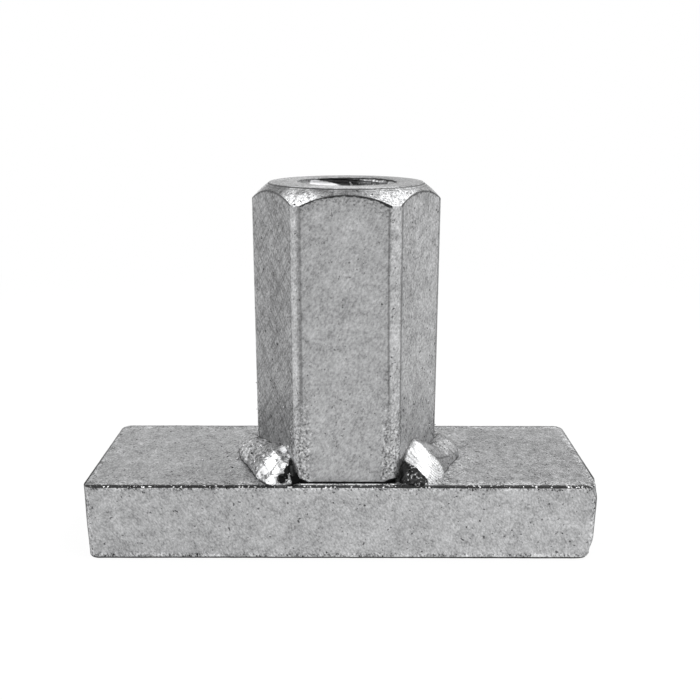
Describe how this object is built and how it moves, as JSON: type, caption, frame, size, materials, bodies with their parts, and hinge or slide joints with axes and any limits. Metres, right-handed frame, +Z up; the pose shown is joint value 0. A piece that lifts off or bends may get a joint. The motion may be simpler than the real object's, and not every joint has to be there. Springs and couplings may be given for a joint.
{
  "type": "long hexagon weld nut on a crossbar",
  "caption": "Long hexagon nut with a metric thread, welded upright by a bead at each side to a short flat steel crossbar.",
  "frame": {"origin": "middle of the crossbar's underside", "axes": "+X along the crossbar, +Z up along the thread and out of its open mouth, -Y towards the welded side of the nut"},
  "size_m": [0.052, 0.018, 0.0373],
  "materials": {
    "bar_steel": "dull bright zinc plating over a sheared flat bar, with small pits, scratches and burred edges",
    "nut_steel": "dull bright zinc plating over a drawn hexagon bar, with turning marks on the chamfer and fine pits on the flats",
    "weld_steel": "plated weld metal, bright and rippled, with dark burnt hollows at its toe"
  },
  "bodies": {
    "root": {"flat_bar": "bar_steel", "long_nut": "nut_steel", "weld_left": "weld_steel", "weld_right": "weld_steel"}
  },
  "joints": []
}
